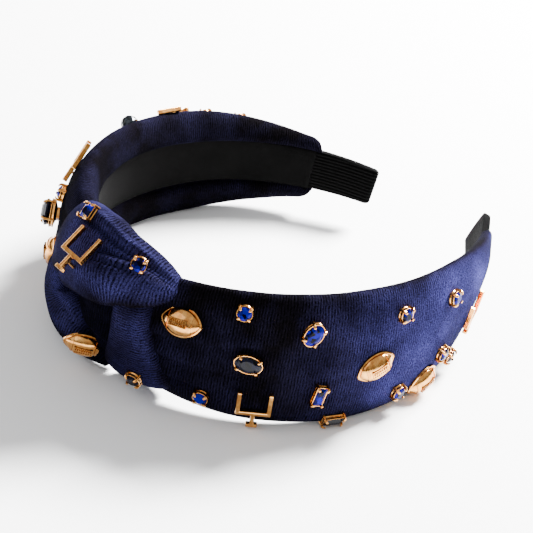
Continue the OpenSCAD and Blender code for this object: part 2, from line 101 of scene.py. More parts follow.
def band_frame(s):
    """Base point, outward direction and upward direction of the band, s metres from the crown
    (far arm positive): the outward and upward directions are the level normal and the upright,
    turned about the bend line by the lean."""
    s = np.asarray(s, dtype=float)
    u, near = np.abs(s) / ARM, s < 0
    th = np.where(near, heading(u, NEAR_BEND), heading(u, FAR_BEND))
    side = np.where(near, -1.0, 1.0)
    zero = np.zeros_like(u)
    flow = unit(np.stack([side * np.sin(th), np.cos(th), -2 * DROOP * s / ARM / ARM], -1))
    level = np.stack([-np.cos(th), side * np.sin(th), zero], -1)
    upright = unit(np.cross(flow, level))
    lean = np.radians(np.where(near, quadratic(*NEAR_LEAN, u), quadratic(*FAR_LEAN, u)))[..., None]
    out = level * np.cos(lean) - upright * np.sin(lean)
    up = upright * np.cos(lean) + level * np.sin(lean)
    x = np.where(near, np.interp(u, TABLE_U, NEAR_LINE[0]), np.interp(u, TABLE_U, FAR_LINE[0]))
    y = np.where(near, np.interp(u, TABLE_U, NEAR_LINE[1]), np.interp(u, TABLE_U, FAR_LINE[1]))
    return np.stack([CROWN_X + x, side * y, REST_H - DROOP * u * u], -1), out, up


def band_point(s, n, z):
    """The point n outward and z up from the bend line at s, kept above the surface it rests on."""
    base, out, up = band_frame(s)
    p = base + out * np.asarray(n)[..., None] + up * np.asarray(z)[..., None]
    p[..., 2] = np.maximum(p[..., 2], FLOOR_GAP)
    return p


def ease(x):
    """Smooth step from 0 to 1."""
    x = np.clip(x, 0, 1)
    return x * x * (3 - 2 * x)


def bell(x, middle, width):
    """Bell curve: 1 at its middle, falling off over its width."""
    return np.exp(-((x - middle) / width) ** 2)


SMOOTHING = 0.07


def half_width(u):
    """Half width of the cover: the widths joined by straight lines, then smoothed along the arm by a
    weighted average, its weights a cosine of the offset."""
    offsets = np.linspace(-SMOOTHING, SMOOTHING, 9)
    weights = np.cos(offsets / SMOOTHING * math.pi / 2.4)
    values = sum(w * np.interp(u + d, COVER_STATIONS, COVER_WIDTHS) for w, d in zip(weights, offsets))
    return values / weights.sum() / 2


PAD_TAPER = 25 * MM


def half_pad(u):
    """Half thickness of the padding, thinner over the last stretch of the cover."""
    return PAD + (PAD_END - PAD) * ease((u * ARM - COVER + PAD_TAPER) / PAD_TAPER)


def lining_half(u):
    """Half width of the lining at u from 0 at the crown to 1 at the end of an arm."""
    return np.interp(u, (0, 0.5, 1), LINING_WIDTHS) / 2


def core_half(u):
    """Half width of the hidden strip: a little wider than the lining, narrower near its ends."""
    return lining_half(u) + CORE_LAP - CORE_TAPER * ease((u - 0.7) / 0.18)


# ---------------------------------------------------------------- mesh helpers
def grid_faces(rows, cols, wrap=False):
    """Quads of a rows by cols grid of points, joined round if wrap."""
    r, c = np.meshgrid(np.arange(rows - 1), np.arange(cols if wrap else cols - 1), indexing="ij")
    nxt = (c + 1) % cols
    quads = np.stack([r * cols + c, (r + 1) * cols + c, (r + 1) * cols + nxt, r * cols + nxt], -1)
    return quads.reshape(-1, 4)


def make_mesh(name, points, faces, material, smooth=True):
    """A mesh object from an array of points and a list of faces, its faces turned outward."""
    mesh = bpy.data.meshes.new(name)
    mesh.from_pydata(np.asarray(points).reshape(-1, 3).tolist(), [], faces)
    mesh.validate()
    mesh.polygons.foreach_set("use_smooth", [smooth] * len(mesh.polygons))
    mesh.update()
    piece = bpy.data.objects.new(name, mesh)
    bpy.context.scene.collection.objects.link(piece)
    mesh.materials.append(material)
    volume = sum(Vector(mesh.vertices[p.vertices[0]].co).dot(p.normal) * p.area for p in mesh.polygons)
    if volume < 0:
        mesh.flip_normals()
    return piece


def add_coordinates(piece, values, name="cloth"):
    """A UV map from one pair of values for each point, so a pattern follows the cloth."""
    mesh = piece.data
    loops = np.zeros(len(mesh.loops), dtype=np.int32)
    mesh.loops.foreach_get("vertex_index", loops)
    layer = mesh.uv_layers.new(name=name)
    layer.data.foreach_set("uv", np.asarray(values).reshape(-1, 2)[loops].astype(np.float32).ravel())


def tube(name, rings, material, coordinates, nap_and_painted_sheen=None, painted_shade=1.0):
    """A closed bar: rings of points joined round and along, each end closed by a fan on its middle.
    Each point carries its distance along and across the cloth, the strength of its painted sheen,
    and its painted shade, low in deep creases."""
    rows, cols = rings.shape[:2]
    quads = grid_faces(rows, cols, wrap=True).tolist()
    points = np.concatenate([rings.reshape(-1, 3), rings[0].mean(0)[None], rings[-1].mean(0)[None]])
    for i in range(cols):
        j = (i + 1) % cols
        quads.append([i, j, rows * cols])
        quads.append([(rows - 1) * cols + j, (rows - 1) * cols + i, rows * cols + 1])
    piece = make_mesh(name, points, quads, material)
    ends = np.stack([coordinates[0].mean(0), coordinates[-1].mean(0)])
    add_coordinates(piece, np.concatenate([coordinates.reshape(-1, 2), ends]))
    if nap_and_painted_sheen is not None:
        both = np.stack([nap_and_painted_sheen, np.broadcast_to(painted_shade, nap_and_painted_sheen.shape)], -1)
        ends = np.stack([both[0].mean(0), both[-1].mean(0)])
        add_coordinates(piece, np.concatenate([both.reshape(-1, 2), ends]), "nap_and_painted_sheen")
    return piece


SINES = 7


def waves(a, b, scale, seed):
    """Smooth, repeatable unevenness: a sum of sines in turned directions, from -1 to 1."""
    rng = np.random.default_rng(seed)
    total = np.zeros(np.broadcast(a, b).shape)
    for _ in range(SINES):
        turn = rng.uniform(0, 2 * math.pi)
        pitch = scale * rng.uniform(0.6, 1.7)
        phase = rng.uniform(0, 6.28)
        total = total + np.sin((a * math.cos(turn) + b * math.sin(turn)) * 2 * math.pi / pitch + phase)
    return total / SINES


# ---------------------------------------------------------------- materials
def linear(code):
    """Linear colour from an sRGB hex code."""
    parts = [int(code[i:i + 2], 16) / 255 for i in (0, 2, 4)]
    return tuple(c / 12.92 if c <= 0.04045 else ((c + 0.055) / 1.055) ** 2.4 for c in parts) + (1,)


def plug(tree, socket, value):
    """Link another node's output to a socket, or set the socket to a value."""
    if isinstance(value, bpy.types.NodeSocket):
        tree.links.new(value, socket)
    else:
        socket.default_value = value


def node(tree, kind, settings=(), **links):
    """A shader node with its settings. Its sockets, by name or as i and a number, are set to values or
    linked to other nodes."""
    made = tree.nodes.new("ShaderNode" + kind)
    for key, value in dict(settings).items():
        setattr(made, key, value)
    for key, value in links.items():
        numbered = key[0] == "i" and key[1:].isdigit()
        plug(tree, made.inputs[int(key[1:]) if numbered else key.replace("_", " ")], value)
    return made


def new_material(name, **values):
    """A material with its principled shader's own constants set; returns it, its tree and the shader."""
    material = bpy.data.materials.new(name)
    material.use_nodes = True
    tree = material.node_tree
    shader = tree.nodes["Principled BSDF"]
    for key, value in values.items():
        shader.inputs[key.replace("_", " ")].default_value = value
    return material, tree, shader


def mix(tree, factor, a, b):
    """Colour between a and b."""
    return node(tree, "Mix", {"data_type": "RGBA"}, i0=factor, i6=a, i7=b).outputs[2]


def ramp(tree, value, low, high):
    """value mapped so that low gives 0 and high gives 1, held between them."""
    return node(tree, "MapRange", {"clamp": True}, Value=value, From_Min=low, From_Max=high).outputs[0]


def maths(tree, operation, a, b=0.0, clamp=False):
    return node(tree, "Math", {"operation": operation, "use_clamp": clamp}, i0=a, i1=b).outputs[0]


def times(tree, a, b):
    return maths(tree, "MULTIPLY", a, b)


def plus(tree, a, b):
    return maths(tree, "ADD", a, b)


def parts(tree, vector):
    """The three parts of a vector."""
    return node(tree, "SeparateXYZ", {}, Vector=vector).outputs


def object_place(tree):
    return node(tree, "TexCoord").outputs["Object"]


def coordinates_of(tree, name):
    return node(tree, "UVMap", {"uv_map": name}).outputs[0]


def stripes(tree, coordinate, pitch):
    """Waves of the given pitch in metres along a coordinate, from -1 to 1."""
    return maths(tree, "SINE", times(tree, coordinate, 2 * math.pi / pitch))


def noise(tree, vector, grain, detail=2.0):
    """Noise whose lumps are about grain metres across."""
    return node(tree, "TexNoise", {}, Vector=vector, Scale=1 / grain, Detail=detail).outputs["Fac"]


def bump(tree, shader, height, depth):
    """Small relief, as deep as depth in metres."""
    made = node(tree, "Bump", {}, Height=height, Distance=depth, Strength=1.0)
    tree.links.new(made.outputs[0], shader.inputs["Normal"])


def colour(tree, shader, value):
    tree.links.new(value, shader.inputs["Base Color"])


def ribbed_velvet():
    """Crushed navy velvet. Fine ribs broken up by the pile, with painted shade in their grooves and
    painted glints on their ridges; brushed patches shift from ink blue to a paler blue; a painted
    sheen turns it a bright violet blue on the outer face towards the end of the band and on one side
    of each knot fold. Painted shade darkens the inner face and the cover beside the knot, and leaves
    folds tucked deep in the knot nearly black."""
    material, tree, shader = new_material(
        "ribbed_velvet", Roughness=0.8, IOR=1.03, Sheen_Weight=0.006, Sheen_Roughness=0.3,
        Sheen_Tint=linear("8088d8"))
    cloth, place = coordinates_of(tree, "cloth"), object_place(tree)
    # the painted sheen and the painted shade that each point of the cloth carries
    painted_sheen_and_shade = parts(tree, coordinates_of(tree, "nap_and_painted_sheen"))
    nap_and_painted_sheen, painted_shade = painted_sheen_and_shade[0], painted_sheen_and_shade[1]
    drift = times(tree, noise(tree, cloth, 3 * MM), 0.9 * MM)
    along = plus(tree, parts(tree, cloth)[0], drift)
    broken = ramp(tree, noise(tree, place, 1.1 * MM), 0.35, 0.6)
    flattened = maths(tree, "SUBTRACT", 1.0, times(tree, nap_and_painted_sheen, 0.75))
    rib = times(tree, stripes(tree, along, 0.9 * MM), times(tree, broken, flattened))
    pile = noise(tree, place, 0.42 * MM, 3.0)
    brushed = ramp(tree, noise(tree, place, 14 * MM, 4.0), 0.4, 0.66)
    height = plus(tree, times(tree, rib, 0.3), times(tree, pile, 1.1))
    # painted rib light: glints on the ridges and painted shade in the grooves
    painted_rib_light = ramp(tree, height, 0.3, 0.95)
    patchy = plus(tree, 0.6, times(tree, brushed, 0.5))
    # painted sheen, laid on in patches where the point carries it
    painted_sheen_mix = maths(tree, "MULTIPLY", nap_and_painted_sheen, times(tree, patchy, painted_rib_light), clamp=True)
    ink = mix(tree, painted_rib_light, linear("010101"), linear("100d12"))
    without_painted_sheen = mix(tree, times(tree, brushed, painted_rib_light), ink, linear("1e1c33"))
    with_painted_sheen = mix(tree, painted_sheen_mix, without_painted_sheen, linear("46458a"))
    # painted shade darkens the colour towards black
    colour(tree, shader, mix(tree, painted_shade, linear("010101"), with_painted_sheen))
    bump(tree, shader, height, 0.3 * MM)
    return material


def lining_ribbon():
    """Flat black velvet ribbon, with a close nap and faintly worn patches."""
    material, tree, shader = new_material(
        "lining_ribbon", Roughness=0.9, Specular_IOR_Level=0.04, Sheen_Weight=0.005, Sheen_Roughness=0.4)
    cloth = coordinates_of(tree, "cloth")
    patch = ramp(tree, noise(tree, cloth, 12 * MM, 3.0), 0.35, 0.7)
    colour(tree, shader, mix(tree, patch, linear("030303"), linear("060606")))
    bump(tree, shader, noise(tree, cloth, 0.5 * MM, 3.0), 0.1 * MM)
    return material


def ribbed_ribbon():
    """Black grosgrain ribbon: ribs along it, with painted light on their tops and painted shade in the
    grooves between them, and a fine thread across them."""
    material, tree, shader = new_material("ribbed_ribbon", Roughness=0.8, IOR=1.06)
    cloth = parts(tree, coordinates_of(tree, "cloth"))
    thread = times(tree, stripes(tree, cloth[0], 0.4 * MM), 0.3)
    rib = stripes(tree, cloth[1], 1.25 * MM)
    # ribs painted lighter on top and darker in the grooves, as painted light and shade
    colour(tree, shader, mix(tree, ramp(tree, rib, -0.8, 0.6), linear("010101"), linear("0b0b0b")))
    bump(tree, shader, plus(tree, rib, thread), 0.1 * MM)
    return material


def rose_gold():
    """Polished rose gold plate, worn a little unevenly: patches of slightly deeper tone and softer
    gloss, and a faint ripple from casting."""
    material, tree, shader = new_material(
        "rose_gold", Metallic=1.0, Roughness=0.16, Base_Color=linear("cc9050"))
    worn = noise(tree, object_place(tree), 1.5 * MM, 3.0)
    colour(tree, shader, mix(tree, ramp(tree, worn, 0.35, 0.7), linear("c08040"), linear("dca45c")))
    gloss = node(tree, "MapRange", {}, Value=worn, To_Min=0.1, To_Max=0.26)
    tree.links.new(gloss.outputs[0], shader.inputs["Roughness"])
    bump(tree, shader, worn, 0.015 * MM)
    return material


def crystal(name, dark, light, metal, gloss):
    """Foil-backed cut glass: sharp facets, with painted reflections flashing between a dark and a bright
    tone.
    """
    material, tree, shader = new_material(name, Metallic=metal, Roughness=0.07, Specular_IOR_Level=gloss)
    cell = node(tree, "TexVoronoi", {}, Vector=object_place(tree), Scale=1 / (1.3 * MM)).outputs["Color"]
    # painted reflections: random cells switch between the dark and the bright tone
    painted_flash = ramp(tree, parts(tree, cell)[0], 0.2, 0.9)
    colour(tree, shader, mix(tree, painted_flash, linear(dark), linear(light)))
    return material


def strip_plastic():
    """Plain black moulded plastic of the hidden strip, with a fine grain."""
    material, tree, shader = new_material("strip_plastic", Roughness=0.5, Base_Color=linear("1c1c1d"))
    bump(tree, shader, noise(tree, object_place(tree), 0.4 * MM), 0.03 * MM)
    return material


def paper(tone):
    """Matt white backdrop paper, with a barely visible tooth."""
    material, tree, shader = new_material("backdrop_paper", Roughness=0.9, Base_Color=linear(tone))
    bump(tree, shader, noise(tree, object_place(tree), 1.5 * MM), 0.02 * MM)
    return material


VELVET, LINING, RIBBON, GOLD = ribbed_velvet(), lining_ribbon(), ribbed_ribbon(), rose_gold()
BLUE = crystal("blue_crystal", "02010c", "0d067a", 0.05, 0.06)
DARK = crystal("dark_crystal", "020205", "0a0c1e", 0.05, 0.12)
PEARL = crystal("dark_pearl", "08090b", "20252a", 0.4, 0.3)


def finish_piece(piece, slot, *nodes):
    """Tie a piece to the band's one body and hide the CAD parts it stands for; slot is not used."""
    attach(piece, "root")
    if nodes:
        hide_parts(*nodes)
    return piece


# ---------------------------------------------------------------- cover
# points round the section, the size of its rolled edge, the power that squares its oval, and the
# shares of the way round where the dome and the roll end
SECTION, ROLL, POWER = 112, 3.2 * MM, 1.2
DOME_END, ROLL_END = 0.8, 0.92


def section(u, q):
    """Closed outline of the padded cover at q from 0 to 1 round it: a flattened oval, 2.4 power
    across and 2 power outward, whose ends roll under the lining in quarter ellipses."""
    lin, hw, pad = lining_half(u), half_width(u), half_pad(u)
    roll = np.minimum(ROLL, (hw - lin) * 0.45)
    edge = lin + roll
    turn = math.pi - np.arcsin(np.clip((edge / hw) ** POWER, 0, 1))
    n_edge = PAD_C + pad * np.cos(turn)
    t = (q - 0.5) * 2
    side = np.where(t < 0, -1.0, 1.0)
    a = np.abs(t)
    f = np.clip(a / DOME_END, 0, 1) * turn
    r = np.clip((a - DOME_END) / 0.12, 0, 1) * math.pi / 2
    b = np.clip((a - ROLL_END) / 0.08, 0, 1)
    back = LINING_N + 0.25 * MM
    dome_z, dome_n = hw * np.sin(f) ** (1 / POWER), PAD_C + pad * np.cos(f)
    roll_z, roll_n = edge - roll * np.sin(r), back - (back - n_edge) * np.cos(r)
    z = np.where(a < DOME_END, dome_z, np.where(a < ROLL_END, roll_z, lin * (1 - b)))
    n = np.where(a < DOME_END, dome_n, np.where(a < ROLL_END, roll_n, back))
    return n, side * z, f


def pleats(s, z, lines):
    """Depth of soft creases: each is [start, end, z at start, z at end, depth], a narrow valley
    with a swollen lip above it, fading to nothing at its end."""
    d = np.zeros_like(z)
    for start, end, z0, z1, depth in np.asarray(lines) * MM:
        t = np.clip((s - start) / (end - start), 0, 1)
        middle = z0 + (z1 - z0) * ease(t)
        fade = depth * (1 - t) ** 0.8 * (s < end)
        d += fade * (0.8 * bell(z, middle + 2.6 * MM, 2.4 * MM) - bell(z, middle, 0.9 * MM))
    return d


# creases of each arm beside the knot, in mm
NEAR_PLEATS = [[0, 56, 0, 6.5, 2.4], [0, 66, -6.5, -4.5, 1.9], [0, 40, -14, -13, 1.7], [0, 38, 13.5, 12, 0.8]]
FAR_PLEATS = [[0, 60, 3, 5, 1.2], [0, 70, -8, -9, 1.2], [0, 64, 13, 14, 0.9]]
# length over which the open end of the cover is tucked in
TUCK = 3 * MM


def cover_arm(name, side, lines, seed, glow, plump, slump, *nodes):
    """One arm of the padded cover: the section swept along the band, creased near the knot, and
    tucked in round the end ribbon, with a painted sheen and painted shade in its colour. glow is how
    strong the painted sheen on the outer face grows towards the open end, plump how much further the
    padding swells beside the knot, and slump how far the top edge has settled half way along."""
    rounding = 1 - np.sin(np.linspace(0.12, 1, 8) * math.pi / 2)
    s = np.concatenate([np.linspace(0, COVER - TUCK, 230), COVER - TUCK * rounding])
    q = np.linspace(0, 1, SECTION, endpoint=False)
    S, Q = np.meshgrid(s, q, indexing="ij")
    U = S / ARM
    n, z, f = section(U, Q)
    outer = np.clip(np.cos(f), 0, 1) ** 0.5
    inner = np.clip(-np.cos(f), 0, 1) ** 0.5
    n = n + pleats(S, z, lines) * outer
    n = n + plump * bell(S, 45 * MM, 26 * MM) * outer
    last = ease((U - 0.8) / 0.08)
    n = n + 0.35 * MM * waves(S, z, 26 * MM, seed) * outer * (1 - last)
    n = n - 0.3 * MM * waves(S, z, 17 * MM, seed + 1) * inner * (np.abs(z) > lining_half(U) + 1.2 * MM)
    z = z * (1 + 0.012 * waves(S, Q * 0.02, 34 * MM, seed + 2))
    z = z - slump * bell(S, 116 * MM, 34 * MM) * np.clip(z / half_width(U), 0, 1)
    close = 1 - np.sqrt(np.maximum(1 - np.clip((S - COVER + TUCK) / TUCK, 0, 1) ** 2, 0))
    n = CORE_MIDDLE + (n - CORE_MIDDLE) * (1 - 0.45 * close)
    z = z * (1 - 0.16 * close)
    tongue = 2.2 * MM * last * (1 - 1.6 * (z / half_width(U)) ** 2)
    rings = band_point(side * (S + tongue), n, z)
    cap_n = CAP + CORE_HALF + 0.1 * MM
    back_s = s[-1] - TUCK
    angle = np.pi * 2 * (q - 0.5)
    tucked = band_point(np.full(SECTION, side * back_s), CORE_MIDDLE + cap_n * 0.8 * np.cos(angle),
                        core_half(back_s / ARM) * np.sin(angle))
    rings = np.concatenate([rings, tucked[None]])
    around = np.stack([n, z], -1)[100]
    across = np.cumsum(np.linalg.norm(np.diff(around, axis=0, prepend=around[:1]), axis=-1))
    coordinates = np.stack([np.repeat(np.append(s, back_s)[:, None], SECTION, 1) * side,
                            np.repeat(across[None], len(s) + 1, 0)], -1)
    # painted sheen: brighter on the outer face towards the open end, in uneven patches
    facing = np.clip(np.cos(f) * 1.2, 0, 1)
    nap_and_painted_sheen = glow * facing * ease((S - 48 * MM) / (60 * MM)) * (0.75 + 0.35 * waves(S, z, 30 * MM, seed + 3))
    nap_and_painted_sheen = np.clip(nap_and_painted_sheen + 0.1 * facing * glow * waves(S, z, 12 * MM, seed + 4), 0, 1)
    # painted shade: darker on the inner face and on the stretch beside the knot
    painted_shade = (1 - 0.5 * inner) * (0.68 + 0.32 * ease((S - 35 * MM) / (50 * MM)))
    nap_and_painted_sheen, painted_shade = (np.concatenate([values, values[-1:]]) for values in (nap_and_painted_sheen, painted_shade))
    piece = tube(name, rings, VELVET, coordinates, nap_and_painted_sheen, painted_shade)
    return finish_piece(piece, "velvet", *nodes)


cover_near = cover_arm("cover_near", NEAR, NEAR_PLEATS, 11, 1.0, 0.4 * MM, 0, "velvet_near", "sponge")
cover_far = cover_arm("cover_far", FAR, FAR_PLEATS, 23, 0.15, 2.8 * MM, 1.9 * MM, "velvet_far")

# ---------------------------------------------------------------- knot
# points round a fold, and the depth in the knot, in mm along the band, that no cloth reaches, given to folds
# that get no painted shade
ROUND, NOWHERE = 56, -90


def smooth_path(rows, count):
    """A smooth run through the rows: a Catmull-Rom spline, each row [along, up, outward, half width,
    half thickness] in mm."""
    rows = np.asarray(rows, dtype=float) * MM
    t = np.linspace(0, len(rows) - 1, count)
    i = np.clip(t.astype(int), 0, len(rows) - 2)
    x = (t - i)[:, None]
    p0, p1, p2, p3 = (rows[np.clip(i + k, 0, len(rows) - 1)] for k in (-1, 0, 1, 2))
    square, cube = 2 * p0 - 5 * p1 + 4 * p2 - p3, 3 * p1 - p0 - 3 * p2 + p3
    return 0.5 * (2 * p1 + (p2 - p0) * x + square * x**2 + cube * x**3)


def fold(name, rows, creases, bank, seed, dark, *nodes):
    """A soft fold of cloth: an oval swept along a path. Each crease is [angle round the oval in
    degrees, start, end, depth in mm], a valley that runs along the fold and fades at both ends. bank
    turns the oval about its path, in degrees, so that one edge stands out further. Cloth that lies
    deeper in the knot than dark, a distance along the band in mm, gets painted shade, and one side of
    the fold gets a painted sheen."""
    path = smooth_path(rows, 90)
    along, up, out, width, thick = path.T
    run = unit(np.gradient(np.stack([along, up], -1), axis=0))
    a = np.linspace(0, 2 * math.pi, ROUND, endpoint=False)
    length = np.cumsum(np.linalg.norm(np.diff(path[:, :3], axis=0, prepend=path[:1, :3]), axis=-1))
    t = length / length[-1]
    T, A = np.meshgrid(t, a, indexing="ij")
    L = np.repeat(length[:, None], ROUND, 1)
    swell = 1 + 0.05 * waves(L, A * 8 * MM, 16 * MM, seed)
    for angle, start, end, depth in creases:
        off = (A - math.radians(angle) + math.pi) % (2 * math.pi) - math.pi
        fade = np.clip((T - start) / 0.12, 0, 1) * np.clip((end - T) / 0.2, 0, 1)
        swell = swell + depth * 0.1 * fade * (0.6 * bell(off, 0.28, 0.2) - bell(off, 0, 0.1))
    x = np.sign(np.cos(A)) * np.abs(np.cos(A)) ** 0.9 * np.maximum(width, 0.3 * MM)[:, None] * swell
    y = np.sign(np.sin(A)) * np.abs(np.sin(A)) ** 0.8 * np.maximum(thick, 0.3 * MM)[:, None] * swell
    tilt = math.radians(bank)
    across, high = x * math.cos(tilt) - y * math.sin(tilt), y * math.cos(tilt) + x * math.sin(tilt)
    side = along[:, None] - run[:, 1:] * across
    rings = band_point(side, out[:, None] + high, up[:, None] + run[:, :1] * across)
    coordinates = np.stack([L, A / (2 * math.pi) * 40 * MM], -1)
    # painted sheen on one side of the fold, in uneven patches
    nap_and_painted_sheen = np.clip(0.3 * np.sin(A - 0.5) + 0.25 * waves(L, A * 8 * MM, 12 * MM, seed + 5), 0, 1)
    # painted shade on cloth lying deeper in the knot than dark
    painted_shade = 0.3 + 0.7 * ease((side - dark * MM) / (9 * MM))
    piece = tube(name, rings, VELVET, coordinates, nap_and_painted_sheen * painted_shade, painted_shade)
    return finish_piece(piece, "velvet", *nodes)


back_fold = fold("knot_back_fold", [
    [42, -8, 2, 8, 4], [36, 0, 5.5, 9.5, 5], [29, 9, 7, 10.5, 5.5],
    [20, 17, 7.5, 12, 6], [9, 20.5, 7.5, 12.3, 6], [-1, 21, 7, 10.5, 5.5],
    [-9, 19, 5, 8, 5], [-16, 16.5, 2.5, 4.5, 3.5], [-22, 15.5, 1, 1.5, 1.5]],
    [[60, 0.45, 1.0, 2.6], [80, 0.5, 1.0, 3.0], [100, 0.5, 1.0, 2.8], [122, 0.45, 0.95, 2.2]],
    26, 31, NOWHERE, "wrap_top")
front_fold = fold("knot_front_fold", [
    [26, -1, 8.5, 1, 1], [20, 4, 11.3, 3.5, 3.7], [11, 11.5, 12.6, 6.5, 5.3],
    [3.5, 16.5, 13, 8, 6.2], [-3, 18.5, 12, 8, 6], [-8.5, 18, 9.2, 7, 5],
    [-13, 17.5, 7, 4.8, 3.8], [-18, 17.5, 3, 1.5, 1.5]],
    [[150, 0.3, 0.9, 0.8], [40, 0.5, 1.0, 0.8]], 8, 37, NOWHERE, "wrap_top")
side_fold = fold("knot_side_fold", [
    [25, 6, 6, 3, 2], [28.5, 0, 8, 7, 4], [29, -7, 9, 10.5, 5], [24, -12.5, 8.5, 11, 5.5],
    [15, -15.5, 7, 9.5, 5.2], [8, -18, 6, 7, 4.5], [3, -21, 4, 4, 3]],
    [[60, 0.1, 0.8, 1.0], [120, 0.2, 0.9, 1.0]], 0, 41, 6, "wrap_side")
under_fold = fold("knot_under_fold", [
    [-5, 17, 3, 5, 3], [-5.5, 11, 7, 5.8, 4.5], [-6, 4, 8.5, 6, 4.6], [-7, -4, 8.5, 7.5, 4.9],
    [-7.5, -11, 7.5, 9.5, 5], [-8, -16, 6, 11.5, 5], [-8.5, -20, 3.5, 11.5, 4.5], [-9, -23, 0, 9, 3.5]],
    [[60, 0.0, 0.5, 1.0], [110, 0.0, 0.6, 1.0], [88, 0.3, 0.8, 0.6]], 0, 43, NOWHERE, "wrap_under")
heart = fold("knot_heart", [
    [22, -6, 3, 3, 3], [16, -5, 5, 8, 4], [6, -4, 6, 12, 4.5], [-4, -4, 5, 12, 4.5],
    [-14, -4, 3, 9, 4], [-20, -4, 1, 3, 2]],
    [[60, 0.1, 0.9, 1.2], [100, 0.1, 0.9, 1.2]], 0, 47, 22, "knot_core")
SOFT = [cover_near, cover_far, back_fold, front_fold, side_fold, under_fold, heart]


# ---------------------------------------------------------------- lining and end ribbons
def lining_sheet():
    """The lining ribbon along the inner face: a flat strip, given its thickness by a modifier."""
    end, spare = COVER - 1 * MM, 0.2 * MM
    s = np.linspace(-end, end, 241)
    q = np.linspace(-1, 1, 13)
    S, Q = np.meshgrid(s, q, indexing="ij")
    half = lining_half(np.abs(S) / ARM) + spare
    hollow, lip = 0.15 * MM * (1 - Q**2), 0.25 * MM * np.abs(Q) ** 6
    n = LINING_N - 0.12 * MM * waves(S, Q * half, 40 * MM, 5) - hollow + lip
    points = band_point(S, n, Q * half)
    mesh = bpy.data.meshes.new("lining_strip")
    mesh.from_pydata(points.reshape(-1, 3).tolist(), [], grid_faces(len(s), len(q)).tolist())
    mesh.polygons.foreach_set("use_smooth", [True] * len(mesh.polygons))
    piece = bpy.data.objects.new("lining_strip", mesh)
    bpy.context.scene.collection.objects.link(piece)
    mesh.materials.append(LINING)
    add_coordinates(piece, np.stack([S, Q * half], -1))
    thick = piece.modifiers.new("ribbon", "SOLIDIFY")
    thick.thickness = 0.5 * MM
    thick.offset = 0
    return finish_piece(piece, "lining_ribbon", "lining")


lining = lining_sheet()


def end_ribbon(name, side, node_name):
    """Grosgrain ribbon folded over one end of the strip: a flat sleeve with rounded edges, its end
    pinched to a fold with rounded corners."""
    start, early, fold_run = COVER - 2 * MM, 1.2 * MM, 2.1 * MM
    rounding = np.sin(np.linspace(0.1, 1, 9) * math.pi / 2)
    s = np.concatenate([np.linspace(start, ARM - early, 40), ARM - early + fold_run * rounding])
    a = np.linspace(0, 2 * math.pi, 96, endpoint=False)
    S, A = np.meshgrid(s, a, indexing="ij")
    over = np.clip((S - ARM + early) / fold_run, 0, 1)
    half_n = (CAP + CORE_HALF) * np.sqrt(np.maximum(1 - over**2, 0.02))
    half_z = core_half(S / ARM) + CAP - 1.1 * MM * (1 - np.sqrt(np.maximum(1 - over**2, 0)))
    n = CORE_MIDDLE + half_n * np.sign(np.cos(A)) * np.abs(np.cos(A)) ** 0.16
    z = half_z * np.sign(np.sin(A)) * np.abs(np.sin(A)) ** 0.9
    rings = band_point(side * S, n, z)
    piece = tube(name, rings, RIBBON, np.stack([side * S, z], -1))
    return finish_piece(piece, "ribbed_ribbon", node_name)


tip_near = end_ribbon("end_ribbon_near", NEAR, "tip_near")
tip_far = end_ribbon("end_ribbon_far", FAR, "tip_far")

# ---------------------------------------------------------------- where ornaments sit
bpy.context.view_layer.update()
points, faces = [], []
for piece in SOFT:
    start = len(points)
    points += [v.co[:] for v in piece.data.vertices]
    faces += [[start + i for i in p.vertices] for p in piece.data.polygons]
CLOTH = BVHTree.FromPolygons(points, faces)


def perch(s, z, spin=0.0, lift=0.0, facing=None):
    """Placement on the cloth at s along and z up the band, in mm: dropped onto the surface from
    outside, its axis along the average normal of a few points round it, or along facing, given as
    its parts along, out and up, then turned by spin."""
    s, z = s * MM, z * MM
    hits, normals = [], []
    for ds, dz in ((0, 0), (2.2, 0), (-2.2, 0), (0, 2.2), (0, -2.2)):
        base, out, up = band_frame(np.array(s + ds * MM))
        start = Vector(base + out * 0.05 + up * (z + dz * MM))
        hit, normal, _, _ = CLOTH.ray_cast(start, Vector(-out))
        if hit is not None:
            hits.append(hit)
            normals.append(normal)
    base, out, up = band_frame(np.array(s))
    axis = sum((n for n in normals), Vector(out) * 0.5).normalized()
    along = Vector(np.cross(up, out)).normalized()
    if facing:
        axis = (along * facing[0] + Vector(out) * facing[1] + Vector(up) * facing[2]).normalized()
    side = (along - axis * along.dot(axis)).normalized()
    rise = axis.cross(side)
    turn = Matrix((side, rise, axis)).transposed() @ Matrix.Rotation(math.radians(spin), 3, "Z")
    return np.array(turn), np.array(hits[0] + axis * lift * MM)


def placed(local, at):
    """Local points in mm, moved to a placement."""
    turn, origin = at
    return origin + np.asarray(local, dtype=float) * MM @ turn.T


class Heap:
    """Several small shapes gathered into one mesh."""

    def __init__(self):
        self.points, self.faces, self.count = [], [], 0

    def put(self, shape, at):
        """Adds a shape, its points in mm and its faces, at a placement."""
        points, faces = shape
        self.points.append(placed(points, at))
        self.faces += [[self.count + i for i in face] for face in faces]
        self.count += len(points)

    def piece(self, name, material, bevel):
        """One mesh of all the shapes, with its sharp edges rounded by bevel in mm."""
        made = make_mesh(name, np.concatenate(self.points), self.faces, material, False)
        if bevel:
            edge = made.modifiers.new("edges", "BEVEL")
            edge.width, edge.segments, edge.limit_method = bevel * MM, 2, "ANGLE"
        return made


def loops(rings, closed=True):
    """Shape of a stack of rings, each a list of points in the same number, with its ends closed."""
    rings = np.asarray(rings, dtype=float)
    rows, cols = rings.shape[:2]
    faces = grid_faces(rows, cols, wrap=True).tolist()
    if closed:
        faces += [list(range(cols)), [(rows - 1) * cols + i for i in reversed(range(cols))]]
    return rings.reshape(-1, 3), faces


